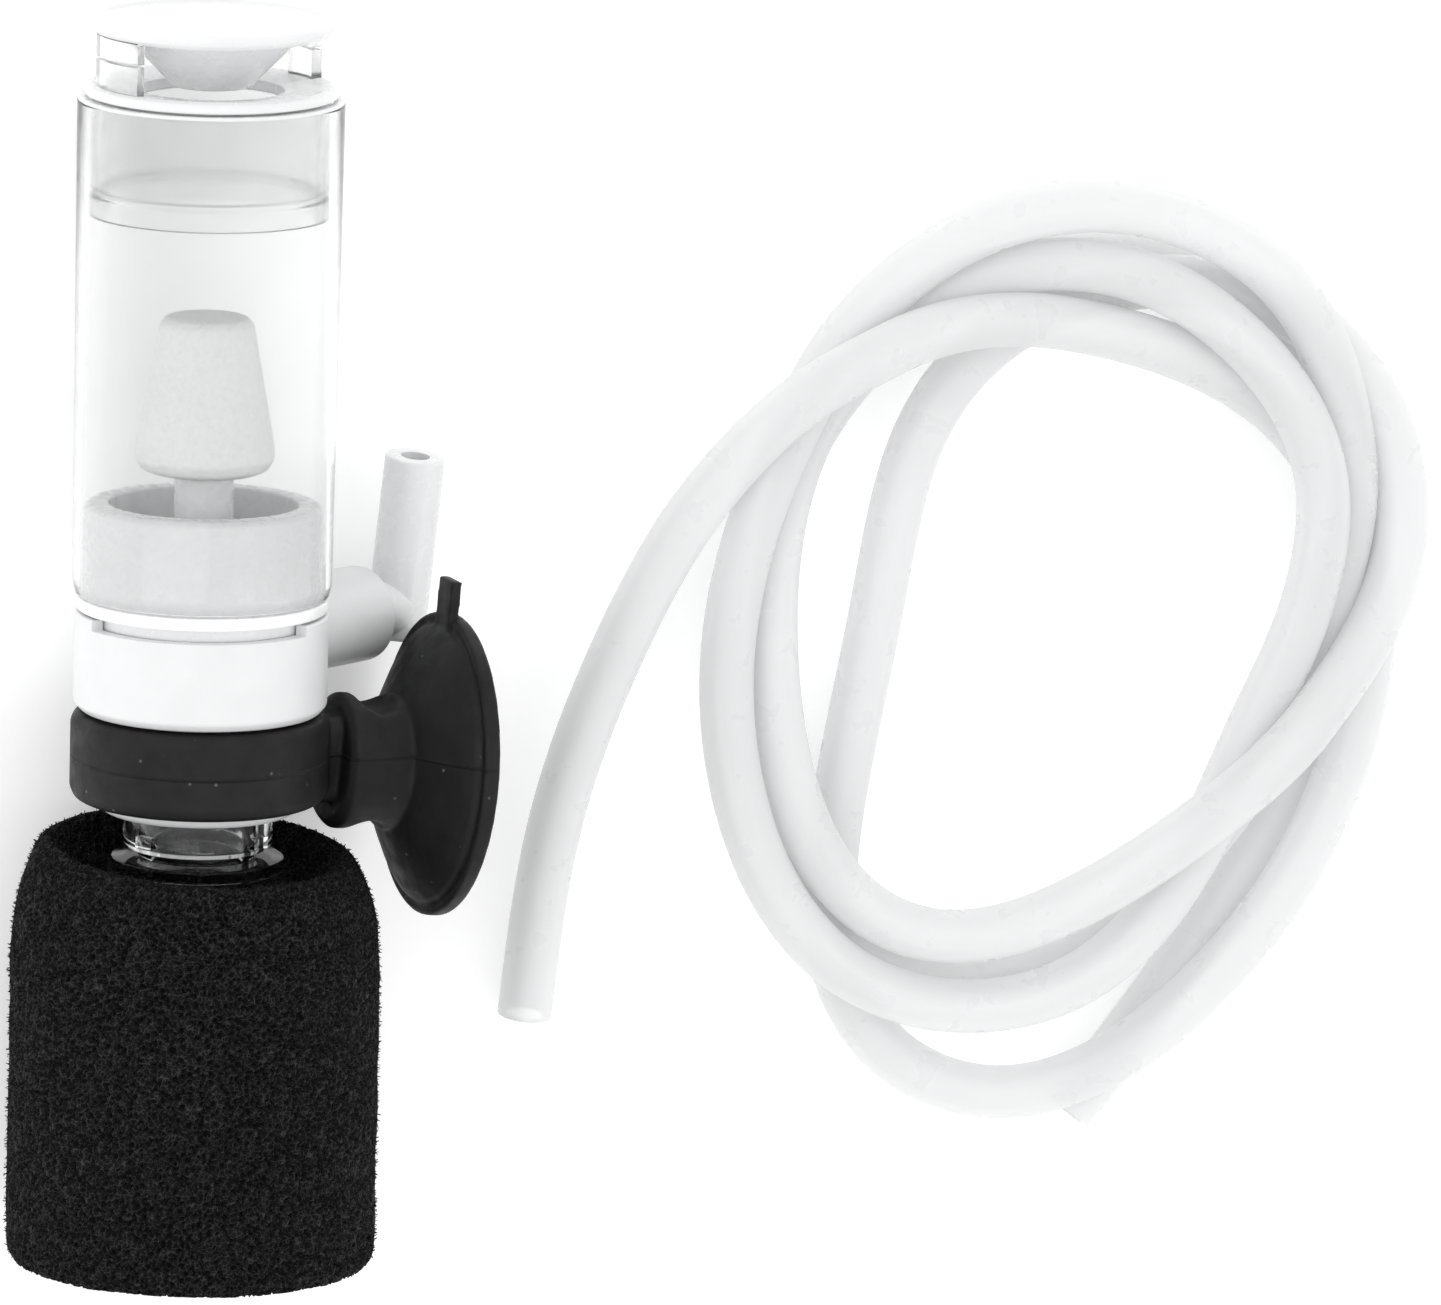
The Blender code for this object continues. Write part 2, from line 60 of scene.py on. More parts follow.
# The hose's route from its free end by the foam to its other end under the coil, with its strands
# followed one by one: x and y in millimetres from the middle of the foam's end, rounded to half a
# millimetre, and how many layers of hose it lies over.
HOSE_ROUTE = (
    (44, 21.5, 0), (46.5, 42.5, 0), (51, 57, 0.1), (56, 74.5, 1.4), (57.5, 86.5, 4.4), (65.5, 96, 5),
    (78.5, 100.5, 4), (91, 101.5, 3.2), (107.5, 97.5, 1.9), (123, 91.5, 1.1), (134, 83, 0.8),
    (140, 71.5, 0.8), (141.5, 58.5, 0.9), (138, 45.5, 1), (132.5, 33, 1), (123, 22.5, 1), (110, 12.5, 1),
    (98.5, 9, 0.6), (84, 15.5, 0.1), (79, 30, 0), (80.5, 46, 0), (84.5, 66, 0), (87.5, 85, 0),
    (95.5, 95, 0), (109, 101.5, 0.1), (126.5, 100.5, 0.5), (137.5, 92, 1.9), (141, 78.5, 2.9),
    (135.5, 65, 3.9), (125, 54.5, 4.4), (116.5, 45.5, 4.1), (103, 36.5, 3.7), (91, 31, 3.4),
    (77.5, 33, 3.1), (69, 46, 2.8), (66, 64.5, 2.6), (67, 82.5, 2.6), (75, 96, 2), (89, 106, 2.7),
    (105, 107, 3.2), (116, 101, 3.3), (125.5, 92, 3.2), (132.5, 79, 2.9), (128, 61.5, 2.6),
    (121, 45, 2.4), (112.5, 30, 2.2), (102, 22.5, 2.1), (83.5, 23, 2), (70.5, 32.5, 2), (63.5, 48.5, 2),
    (62, 66, 2), (65.5, 83, 2.5), (70.5, 95.5, 3.2), (77.5, 106, 3.4), (91, 113, 3.3), (104, 114, 3.3),
    (117.5, 109.5, 3.1), (129, 100, 2.9), (134, 84, 2.6), (134.5, 70, 2.3), (129.5, 56, 2.1),
    (124, 44.5, 1.9), (114, 32.5, 1.6), (102, 25, 1.4), (87, 23.5, 1), (74.5, 34.5, 0.6), (68, 53, 0.6),
    (68, 72, 0.6), (76, 89.5, 0.5), (88, 100, 0.3), (102.5, 104.5, 0.3), (119, 103.5, 0.2),
    (134, 93.5, 0), (141, 79.5, 0), (141, 65.5, 0), (137, 50.5, 0), (131.5, 38.5, 0), (123.5, 26, 0),
    (115.5, 15.5, 0), (108.5, 7, 0),
)
HOSE_R = 3.0
HOSE_BORE_R = 2.0
FLOOR_GAP = 0.05
LAYER_RISE = 5.8
OUTSIDE_ALPHA = 0.64
BORE_ALPHA = 0.15

# The direction from the object to the camera, which looks down at the object lying flat.
TOWARDS = Vector((-0.36397, 0.21256, 1.0)).normalized()
CAMERA_AIM = Vector((0.06413, 0.06220, 0.008))
CAMERA_DISTANCE = 1.8
CAMERA_LENS = 409.25
CAMERA_ROLL = 1.45

WORLD_STRENGTH = 1.05
KEY_POWER = 2.4
STRIP_POWER = 0.8
STRIP_SIZE = (0.12, 1.2)
FLOOR_DROP = 0.0002


# ---------------------------------------------------------------- camera, lights and floor

def add_camera():
    """A long lens from far off, as the photo shows almost no perspective."""
    data = bpy.data.cameras.new("camera")
    data.lens = CAMERA_LENS
    data.sensor_width = 36.0
    data.clip_end = 20.0
    made = bpy.data.objects.new("camera", data)
    bpy.context.scene.collection.objects.link(made)
    side = (-TOWARDS).cross(Vector((0, 1, 0))).normalized()
    up = side.cross(-TOWARDS)
    roll = radians(CAMERA_ROLL)
    right = cos(roll) * side + sin(roll) * up
    top = -sin(roll) * side + cos(roll) * up
    at = BASE + CAMERA_AIM + TOWARDS * CAMERA_DISTANCE
    turn = Matrix((right, top, TOWARDS)).transposed().to_4x4()
    made.matrix_world = Matrix.Translation(at) @ turn
    bpy.context.scene.camera = made


def add_area(name, at, target, size, power):
    """A rectangular lamp at a place in the frame, aimed at the target."""
    data = bpy.data.lights.new(name, "AREA")
    data.shape = "RECTANGLE"
    data.size, data.size_y = size
    data.energy = power
    made = bpy.data.objects.new(name, data)
    bpy.context.scene.collection.objects.link(made)
    made.location = at
    made.rotation_euler = (Vector(target) - Vector(at)).to_track_quat("-Z", "Y").to_euler()


def add_stage():
    """The studio: an even white surround, a key lamp, two strip lamps and a pale floor."""
    world = bpy.data.worlds.new("studio")
    bpy.context.scene.world = world
    world.use_nodes = True
    surround = world.node_tree.nodes["Background"]
    surround.inputs["Color"].default_value = (1.0, 1.0, 1.0, 1)
    surround.inputs["Strength"].default_value = WORLD_STRENGTH
    middle = BASE + Vector((0.06, 0.065, 0.0))
    add_area("key", middle + Vector((-0.7, 0.7, 1.3)), middle, (0.9, 0.9), KEY_POWER)
    add_area("strip_left", middle + Vector((-0.75, 0.0, 0.75)), middle, STRIP_SIZE, STRIP_POWER)
    add_area("strip_right", middle + Vector((0.75, 0.1, 0.9)), middle, STRIP_SIZE, STRIP_POWER)
    bm = bmesh.new()
    bmesh.ops.create_grid(bm, x_segments=8, y_segments=8, size=3.0)
    mesh = bpy.data.meshes.new("floor")
    bm.to_mesh(mesh)
    bm.free()
    floor = bpy.data.objects.new("floor", mesh)
    bpy.context.scene.collection.objects.link(floor)
    floor.location = (0.06, 0.0, -FLOOR_DROP)
    mesh.materials.append(plain_paper())


# ---------------------------------------------------------------- materials

class Shader:
    """A small builder for one node material around a Principled shader."""

    def __init__(self, name):
        self.material = bpy.data.materials.new(name)
        self.material.use_nodes = True
        self.tree = self.material.node_tree
        self.out = self.tree.nodes["Principled BSDF"]
        self.place = self.add("ShaderNodeTexCoord").outputs["Object"]

    def add(self, kind, **settings):
        node = self.tree.nodes.new(kind)
        for key, value in settings.items():
            setattr(node, key, value)
        return node

    def link(self, source, target):
        self.tree.links.new(source, target)

    def set(self, **values):
        for key, value in values.items():
            self.out.inputs[key.replace("_", " ")].default_value = value
        return self

    def noise(self, scale, detail=3.0, rough=0.5):
        node = self.add("ShaderNodeTexNoise")
        node.inputs["Scale"].default_value = scale
        node.inputs["Detail"].default_value = detail
        node.inputs["Roughness"].default_value = rough
        self.link(self.place, node.inputs["Vector"])
        return node.outputs["Fac"]

    def cells(self, scale, feature="F1"):
        node = self.add("ShaderNodeTexVoronoi", feature=feature)
        node.inputs["Scale"].default_value = scale
        self.link(self.place, node.inputs["Vector"])
        return node.outputs["Distance"]

    def ramp(self, source, stops):
        node = self.add("ShaderNodeValToRGB")
        points = node.color_ramp.elements
        while len(points) < len(stops):
            points.new(0.5)
        for point, (at, colour) in zip(points, stops):
            point.position = at
            point.color = (*colour, 1.0)
        self.link(source, node.inputs["Fac"])
        return node.outputs["Color"]

    def mottle(self, socket, source, low, high):
        """Drives a socket of the main shader between two colours by a noise or a grain."""
        colours = self.ramp(source, [(0.3, low), (0.7, high)])
        self.link(colours, self.out.inputs[socket])

    def maths(self, operation, a, b):
        node = self.add("ShaderNodeMath", operation=operation)
        for value, socket in zip((a, b), node.inputs):
            if isinstance(value, (int, float)):
                socket.default_value = value
            else:
                self.link(value, socket)
        return node.outputs["Value"]

    def bump(self, height, distance, strength=1.0, after=None):
        node = self.add("ShaderNodeBump")
        node.inputs["Distance"].default_value = distance
        node.inputs["Strength"].default_value = strength
        self.link(height, node.inputs["Height"])
        if after is not None:
            self.link(after, node.inputs["Normal"])
        self.link(node.outputs["Normal"], self.out.inputs["Normal"])
        return node.outputs["Normal"]


def grey(value):
    return (value, value, value)


def plain_paper():
    """Pale paper lit a little from below, as on a light table."""
    s = Shader("pale_paper")
    s.set(Roughness=0.9, Emission_Color=(1, 1, 1, 1), Emission_Strength=0.24)
    s.mottle("Base Color", s.noise(40.0), grey(0.965), grey(0.975))
    return s.material


def white_plastic():
    """Satin moulded plastic with faint flow mottling."""
    s = Shader("white_plastic")
    s.set(Roughness=0.34, IOR=1.49)
    s.mottle("Base Color", s.noise(220.0, 4), (0.735, 0.74, 0.745), (0.765, 0.77, 0.775))
    s.mottle("Roughness", s.noise(900.0), grey(0.28), grey(0.42))
    s.bump(s.noise(1400.0, 2), 0.00002, 0.5)
    return s.material


def white_painted_brighter():
    """Glossier white plastic, seen through the clear tube, its colour painted brighter than the base's
    white as painted light for the light the tube holds back.
    """
    s = Shader("white_painted_brighter")
    s.set(Roughness=0.28, IOR=1.49)
    # Painted light: this white is brighter than the base's to make up for the light the clear tube holds
    # back.
    s.mottle("Base Color", s.noise(160.0, 4), (0.90, 0.905, 0.91), (0.93, 0.935, 0.94))
    s.mottle("Roughness", s.noise(700.0), grey(0.2), grey(0.36))
    s.bump(s.noise(900.0, 2), 0.000008, 0.4)
    return s.material


def clear_plastic(name):
    """Clear polished plastic with faint flow lines."""
    s = Shader(name)
    s.set(Roughness=0.06, IOR=1.3)
    s.out.inputs["Transmission Weight"].default_value = 1.0
    s.mottle("Base Color", s.noise(120.0, 4), (0.955, 0.959, 0.959), (0.970, 0.974, 0.974))
    s.mottle("Roughness", s.noise(500.0), grey(0.03), grey(0.12))
    s.bump(s.noise(150.0, 2), 0.00001, 0.3)
    return s.material


def milky_clear(name):
    """Clear plastic with a milky haze."""
    s = Shader(name)
    s.set(Roughness=0.15, IOR=1.35)
    s.out.inputs["Transmission Weight"].default_value = 0.94
    s.mottle("Base Color", s.noise(140.0, 4), (0.985, 0.988, 0.988), (0.995, 0.997, 0.997))
    s.mottle("Roughness", s.noise(600.0), grey(0.1), grey(0.24))
    s.bump(s.noise(300.0, 2), 0.000006, 0.3)
    return s.material


def frosted_white(name):
    """Hazy white plastic, satin on its face."""
    s = Shader(name)
    s.set(Roughness=0.25, IOR=1.47)
    s.mottle("Base Color", s.noise(180.0, 4), (0.77, 0.775, 0.78), (0.80, 0.805, 0.81))
    s.mottle("Roughness", s.noise(500.0), grey(0.18), grey(0.32))
    s.bump(s.noise(400.0, 3), 0.000004, 0.3)
    return s.material


def hose_vinyl(name, alpha):
    """Translucent soft vinyl, made for the hose's outside and for its bore."""
    s = Shader(name)
    s.set(Roughness=0.3, IOR=1.5, Alpha=alpha)
    s.mottle("Base Color", s.noise(60.0, 3), (0.855, 0.86, 0.865), (0.875, 0.88, 0.885))
    s.mottle("Roughness", s.noise(300.0), grey(0.26), grey(0.34))
    s.bump(s.noise(120.0, 2), 0.00002, 0.2)
    return s.material


def sintered_stone():
    """Gritty grey stone, painted paler than its own colour as painted light for the light the clear tube
    holds back.
    """
    s = Shader("grey_stone")
    s.set(Roughness=0.95)
    grain = s.noise(1600.0, 4, 0.7)
    # Painted light: these greys are raised above the stone's own to make up for the light the clear tube
    # holds back; their spread is the grain.
    tones = s.ramp(grain, [(0.25, grey(0.88)), (0.5, grey(0.94)), (0.75, grey(0.97))])
    s.link(tones, s.out.inputs["Base Color"])
    s.bump(grain, 0.00025, 0.9)
    return s.material


def black_rubber(part_y):
    """Matte moulded rubber with a parting line at part_y metres, a soft bloom and light dust."""
    s = Shader("black_rubber")
    s.set(Roughness=0.55, IOR=1.5)
    s.out.inputs["Specular IOR Level"].default_value = 0.22
    bloom = s.ramp(s.noise(140.0, 5, 0.6), [(0.3, grey(0.007)), (0.7, grey(0.014))])
    dust = s.ramp(s.cells(420.0), [(0.0, grey(0.16)), (0.06, grey(0.05)), (0.1, grey(0.0))])
    mixed = s.add("ShaderNodeMix", data_type="RGBA", blend_type="ADD")
    mixed.inputs["Factor"].default_value = 1.0
    s.link(bloom, mixed.inputs["A"])
    s.link(dust, mixed.inputs["B"])
    s.link(mixed.outputs["Result"], s.out.inputs["Base Color"])
    s.mottle("Roughness", s.noise(420.0, 4), grey(0.45), grey(0.68))
    grain = s.bump(s.noise(1100.0, 3), 0.00005, 0.6)
    split = s.add("ShaderNodeSeparateXYZ")
    s.link(s.place, split.inputs["Vector"])
    away = s.maths("ABSOLUTE", s.maths("SUBTRACT", split.outputs["Y"], part_y), 0.0)
    fall = s.maths("SUBTRACT", 1.0, s.maths("DIVIDE", away, 0.00022))
    s.bump(s.maths("MAXIMUM", fall, 0.0), 0.00016, 1.0, grain)
    return s.material


def open_foam():
    """Black open-cell foam with painted light: struts painted lighter as painted highlights and pores
    painted darker as painted shade, following per-point values on the mesh and a finer cell web.
    """
    s = Shader("black_foam")
    s.set(Roughness=0.8)
    s.out.inputs["Specular IOR Level"].default_value = 0.16
    # Painted light: the mesh's per-point values and a finer cell web make the struts lighter as painted
    # highlights and the pores darker as painted shade.
    painted_strut_light = s.add("ShaderNodeAttribute", attribute_name="painted_strut_light")
    fine = s.cells(1850.0, "DISTANCE_TO_EDGE")
    web = s.ramp(fine, [(0.0, grey(1.0)), (0.05, grey(0.8)), (0.14, grey(0.12))])
    painted_lightness = s.maths("MULTIPLY", web, s.maths("MULTIPLY_ADD", painted_strut_light.outputs["Fac"], 0.75))
    # Painted highlight on the struts, painted shade in the pores.
    tones = s.ramp(painted_lightness, [(0.0, grey(0.0008)), (0.4, grey(0.005)), (1.0, grey(0.032))])
    s.link(tones, s.out.inputs["Base Color"])
    s.bump(web, 0.0003, 0.8)
    return s.material


# ---------------------------------------------------------------- mesh helpers

CORNER_STEPS = 4
ON_AXIS = 1e-6


def split_look(made, look, chosen):
    """Gives a second material to the faces whose middle, in upright millimetres, is chosen."""
    back = AXIS.inverted()
    made.data.materials.append(look)
    for face in made.data.polygons:
        at = back @ face.center
        if chosen(hypot(at.x, at.y), at.z):
            face.material_index = 1


def new_piece(name, bm, body, look, nodes, angle=35.0):
    """A piece from a bmesh already in the frame's metres, riding on its body in place of its nodes."""
    bmesh.ops.recalc_face_normals(bm, faces=bm.faces)
    mesh = bpy.data.meshes.new(name)
    bm.to_mesh(mesh)
    bm.free()
    mesh.shade_smooth()
    mesh.set_sharp_from_angle(angle=radians(angle))
    made = bpy.data.objects.new(name, mesh)
    bpy.context.scene.collection.objects.link(made)
    mesh.materials.append(look)
    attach(made, body)
    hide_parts(*nodes)
    return made


def rounded(profile, radius):
    """The closed outline with each sharp corner turned into a small arc."""
    out = []
    count = len(profile)
    for k in range(count):
        before, at, after = (Vector(profile[(k + n) % count]) for n in (-1, 0, 1))
        a, b = before - at, after - at
        if at.x < ON_AXIS or a.length < ON_AXIS or b.length < ON_AXIS:
            out.append(tuple(at))
            continue
        cut = min(radius, 0.45 * a.length, 0.45 * b.length)
        start, end = at + a.normalized() * cut, at + b.normalized() * cut
        for n in range(CORNER_STEPS + 1):
            t = n / CORNER_STEPS
            p = start * (1 - t) ** 2 + at * 2 * t * (1 - t) + end * t ** 2
            out.append((max(p.x, 0.0), p.y))
    return out


def turned(profile, segments, radius):
    """A bmesh in millimetres, turned about Z from a closed (radius, height) outline.

    The outline's corners are rounded to the radius, unless that is 0.
    """
    bm = bmesh.new()
    rings = []
    for r, z in rounded(profile, radius) if radius else profile:
        if r < ON_AXIS:
            rings.append([bm.verts.new((0, 0, z))])
            continue
        step = 2 * pi / segments
        rings.append([bm.verts.new((r * cos(k * step), r * sin(k * step), z)) for k in range(segments)])
    for a, b in zip(rings, rings[1:] + rings[:1]):
        for k in range(segments):
            n = (k + 1) % segments
            corners = [a[k % len(a)], a[n % len(a)], b[n % len(b)], b[k % len(b)]]
            corners = list(dict.fromkeys(corners))
            if len(corners) > 2:
                bm.faces.new(corners)
    return bm


def block(low, high):
    """A box between two corners."""
    bm = bmesh.new()
    bmesh.ops.create_cube(bm, size=1.0)
    size = Vector(high) - Vector(low)
    bmesh.ops.scale(bm, vec=size, verts=bm.verts)
    bmesh.ops.translate(bm, vec=(Vector(high) + Vector(low)) / 2, verts=bm.verts)
    return bm


def rod(start, end, radius, segments=48, rim=0.0):
    """A cylinder between two points, its end edges rounded."""
    a, b = Vector(start), Vector(end)
    length = (b - a).length
    bm = turned([(0, 0), (radius, 0), (radius, length), (0, length)], segments, rim)
    turn = Vector((0, 0, 1)).rotation_difference(b - a).to_matrix().to_4x4()
    bmesh.ops.transform(bm, matrix=Matrix.Translation(a) @ turn, verts=bm.verts)
    return bm


def arc_plate(r_in, r_out, z0, z1, middle, width, steps=24):
    """A curved plate: a sector of a ring, its middle and width in degrees."""
    bm = bmesh.new()
    sections = []
    for k in range(steps + 1):
        a = radians(middle - width / 2 + width * k / steps)
        corners = ((r_in, z0), (r_out, z0), (r_out, z1), (r_in, z1))
        sections.append([bm.verts.new((r * cos(a), r * sin(a), z)) for r, z in corners])
    for a, b in zip(sections, sections[1:]):
        for k in range(4):
            bm.faces.new((a[k], a[(k + 1) % 4], b[(k + 1) % 4], b[k]))
    bm.faces.new(sections[0])
    bm.faces.new(sections[-1])
    return bm


def spun(bm, degrees):
    """The same bmesh, turned about Z."""
    turn = Matrix.Rotation(radians(degrees), 3, "Z")
    bmesh.ops.rotate(bm, cent=(0, 0, 0), matrix=turn, verts=bm.verts)
    return bm


def moved(bm, matrix):
    """The same bmesh, transformed."""
    bmesh.ops.transform(bm, matrix=matrix, verts=bm.verts)
    return bm


def scratch(bm):
    """A temporary object in millimetres, for a Boolean or a remesh."""
    bmesh.ops.recalc_face_normals(bm, faces=bm.faces)
    mesh = bpy.data.meshes.new("scratch")
    bm.to_mesh(mesh)
    bm.free()
    made = bpy.data.objects.new("scratch", mesh)
    bpy.context.scene.collection.objects.link(made)
    return made


def evaluated(made):
    """The bmesh of a scratch object with its modifiers, which is then removed."""
    bpy.context.view_layer.update()
    graph = bpy.context.evaluated_depsgraph_get()
    bm = bmesh.new()
    bm.from_mesh(made.evaluated_get(graph).to_mesh())
    bpy.data.objects.remove(made, do_unlink=True)
    return bm


def combined(base, steps):
    """One bmesh from a solid and (operation, solid) steps."""
    target = scratch(base)
    for operation, tool_mesh in steps:
        tool = scratch(tool_mesh)
        modifier = target.modifiers.new("step", "BOOLEAN")
        modifier.operation = operation
        modifier.object = tool
        bpy.context.view_layer.update()
        result = bpy.data.meshes.new_from_object(
            target.evaluated_get(bpy.context.evaluated_depsgraph_get())
        )
        target.modifiers.remove(modifier)
        target.data = result
        bpy.data.objects.remove(tool, do_unlink=True)
    return evaluated(target)


def remeshed(bm, voxel, passes):
    """A solid in millimetres as a fine even mesh, its edges worn round."""
    made = scratch(bm)
    remesh = made.modifiers.new("remesh", "REMESH")
    remesh.mode = "VOXEL"
    remesh.voxel_size = voxel
    remesh.use_smooth_shade = True
    worn = made.modifiers.new("worn", "SMOOTH")
    worn.iterations = passes
    worn.factor = 0.5
    return evaluated(made)


# ---------------------------------------------------------------- the hose

def catmull(points, parts):
    """Points on a smooth curve through the given ones, some parts to each stretch."""
    ends = np.vstack([2 * points[0] - points[1], points, 2 * points[-1] - points[-2]])
    out = []
    for i in range(len(points) - 1):
        p = ends[i:i + 4]
        for t in np.linspace(0, 1, parts, endpoint=False):
            out.append(0.5 * (
                2 * p[1] + (p[2] - p[0]) * t
                + (2 * p[0] - 5 * p[1] + 4 * p[2] - p[3]) * t ** 2
                + (3 * p[1] - p[0] - 3 * p[2] + p[3]) * t ** 3
            ))
    out.append(points[-1])
    return np.array(out)


def evenly(points, step):
    """The same line with points an even distance apart."""
    lengths = np.linalg.norm(np.diff(points[:, :3], axis=0), axis=1)
    along = np.r_[0, np.cumsum(lengths)]
    places = np.linspace(0, along[-1], int(round(along[-1] / step)) + 1)
    return np.stack([np.interp(places, along, points[:, k]) for k in range(points.shape[1])], 1)


def smoothed(points, passes):
    """The same line with each inner point moved halfway to the middle of its neighbours."""
    out = points.copy()
    for _ in range(passes):
        out[1:-1] += 0.5 * ((out[:-2] + out[2:]) / 2 - out[1:-1])
    return out


def chord_offset(points, reach):
    """How far each point lies from the middle of its neighbours some steps away."""
    i = np.arange(len(points))
    m = np.minimum(np.minimum(i, len(points) - 1 - i), reach)
    return (points[i - m] + points[np.minimum(i + m, len(points) - 1)]) / 2 - points


def push_apart(points, first, second, spacing, rounds):
    """Moves touching strands apart until they lie one diameter from each other."""
    for _ in range(rounds):
        gap = points[first] - points[second]
        near = (gap ** 2).sum(1) < spacing ** 2
        if near.any():
            a, b, gap = first[near], second[near], gap[near]
            length = np.sqrt((gap ** 2).sum(1)) + 1e-9
            shift = gap * ((spacing - length) / length / 2)[:, None]
            total = np.zeros_like(points)
            count = np.zeros(len(points))
            np.add.at(total, a, shift)
            np.add.at(total, b, -shift)
            np.add.at(count, a, 1)
            np.add.at(count, b, 1)
            points += total / np.maximum(count, 1)[:, None] * 1.4
        points[:, 2] = np.maximum(points[:, 2], HOSE_R + FLOOR_GAP)


def close_pairs(line, first, second, reach_squared):
    """The pairs of points near enough to meet before the pairs are looked for again."""
    close = ((line[first] - line[second]) ** 2).sum(1) < reach_squared
    return first[close], second[close]


def laid_hose():
    """Lets the hose down along its route: stiff, a diameter apart at crossings, on the floor."""
    route = np.array(HOSE_ROUTE, float)
    route[:, 2] = HOSE_R + FLOOR_GAP + LAYER_RISE * route[:, 2]
    line = evenly(catmull(route, 12), 2.0)
    fair = smoothed(line, 30)
    line = fair + 0.85 * (fair - smoothed(fair, 30))
    home = line.copy()
    lean = np.array((TOWARDS.x, TOWARDS.y)) / TOWARDS.z
    flat = home * (1, 1, 0)
    bends = {reach: chord_offset(flat, reach) for reach in (1, 3, 6)}
    first, second = np.triu_indices(len(line), 8)
    fall_steps, soft_steps, fair_steps = 580, 120, 240
    for step in range(fall_steps + soft_steps):
        if step % 15 == 0:
            a, b = close_pairs(line, first, second, 100.0)
        line[:, 2] -= 0.08 if step < fall_steps else 0.008
        for reach, weight in ((1, 0.3), (3, 0.25), (6, 0.22)):
            line += weight * (chord_offset(line, reach) - bends[reach])
        # A strand that falls would shift in the camera's view, so it is drawn back to its line of sight.
        in_sight = home[:, :2] + (line[:, 2:] - home[:, 2:]) * lean
        line[:, :2] += 0.3 * (in_sight - line[:, :2])
        push_apart(line, a, b, 2 * HOSE_R, 4)
    home = line.copy()
    for step in range(fair_steps):
        if step % 20 == 0:
            a, b = close_pairs(line, first, second, 90.0)
        line = smoothed(line, 1)
        line += 0.04 * (home - line)
        push_apart(line, a, b, 2 * HOSE_R - 0.1, 3)
    return line


def swept(line, radius, bore, sides=28):
    """A hollow tube along a line of points, open at both ends; its bore has the second material."""
    bm = bmesh.new()
    tangents = np.gradient(line, axis=0)
    side = Vector((0, 0, 1)).cross(Vector(tangents[0])).normalized()
    outer, inner = [], []
    for at, tangent in zip(line, tangents):
        along = Vector(tangent).normalized()
        side = (side - along * side.dot(along)).normalized()
        over = along.cross(side)
        for rings, r in ((outer, radius), (inner, bore)):
            turn = [2 * pi * k / sides for k in range(sides)]
            spots = [Vector(at) + r * (cos(t) * side + sin(t) * over) for t in turn]
            rings.append([bm.verts.new(spot) for spot in spots])
    for look, rings in enumerate((outer, inner)):
        for a, b in zip(rings, rings[1:]):
            for k in range(sides):
                n = (k + 1) % sides
                bm.faces.new((a[k], a[n], b[n], b[k])).material_index = look
    for a, b in ((outer[0], inner[0]), (inner[-1], outer[-1])):
        for k in range(sides):
            n = (k + 1) % sides
            bm.faces.new((a[k], b[k], b[n], a[n]))
    return bm


def add_hose():
    """The whole hose as one piece, in place of the CAD's three stand-ins."""
    line = laid_hose()
    bm = moved(swept(line, HOSE_R, HOSE_BORE_R), FLAT)
    nodes = ("hose_coil", "hose_tail", "hose_chord")
    outside = hose_vinyl("hose_vinyl", OUTSIDE_ALPHA)
    hose = new_piece("air_hose", bm, "base", outside, nodes, 60)
    hose.data.materials.append(hose_vinyl("hose_bore", BORE_ALPHA))


# ---------------------------------------------------------------- the foam

# In millimetres. The pores are cells around seeded centres, one to each cube of a grid set by PORE.
PORE = 0.8
SEED_TOP = 49.0
FOAM_AROUND = 480
SHELL_SEEDS, END_SEEDS, BOWL_SEEDS = 150000, 14000, 40000
STRUT_ENDS = 9000
PORE_DEPTH = 0.7
STRUT_ROOT = 0.35


def foam_outline():
    """The foam's (radius, height) outline, outside first, ending in the bowl around the neck."""
    points = [
        (0, 0.3), (10, 0.3), (18.6, 0.3), (19.7, 0.7), (20.2, 1.7), (20.3, 4.0), (20.3, 12), (20.3, 24),
        (20.3, 31.5), (20.2, 35), (19.9, 38.2), (19.3, 41.3), (18.3, 44.2), (17.2, 45.8), (16.0, 46.4),
        (15.0, 45.8), (13.9, 43.8), (12.5, 42.0), (11.1, 41.4), (10.3, 42.1), (9.9, 43.4), (8.6, 43.6),
    ]
    fine = evenly(catmull(np.array([(r, z, 0.0) for r, z in points]), 8), 0.27)
    return fine[:, :2]


def pore_walls(places):
    """Distance between the two nearest of many seeded cell centres, at each place."""
    rng = np.random.default_rng(11)
    from_axis = rng.uniform(17.5, 21.5, SHELL_SEEDS)
    turn = rng.uniform(0, 2 * pi, SHELL_SEEDS)
    height = rng.uniform(-2, SEED_TOP, SHELL_SEEDS)
    shell = np.stack([from_axis * np.cos(turn), from_axis * np.sin(turn), height], 1)
    ends = rng.uniform((-18, -18, -1), (18, 18, 1.5), (END_SEEDS, 3))
    bowl = rng.uniform((-18, -18, 40), (18, 18, SEED_TOP), (BOWL_SEEDS, 3))
    centres = np.vstack([shell, ends, bowl])
    wanted = {}
    for p in centres:
        wanted.setdefault(tuple((p // (0.78 * PORE)).astype(int)), p)
    centres = np.array(list(wanted.values()))
    tree = kdtree.KDTree(len(centres))
    for k, p in enumerate(centres):
        tree.insert(p, k)
    tree.balance()
    out = []
    for p in places:
        (_, _, near), (_, _, far) = tree.find_n(p, 2)
        out.append(far - near)
    return np.array(out)


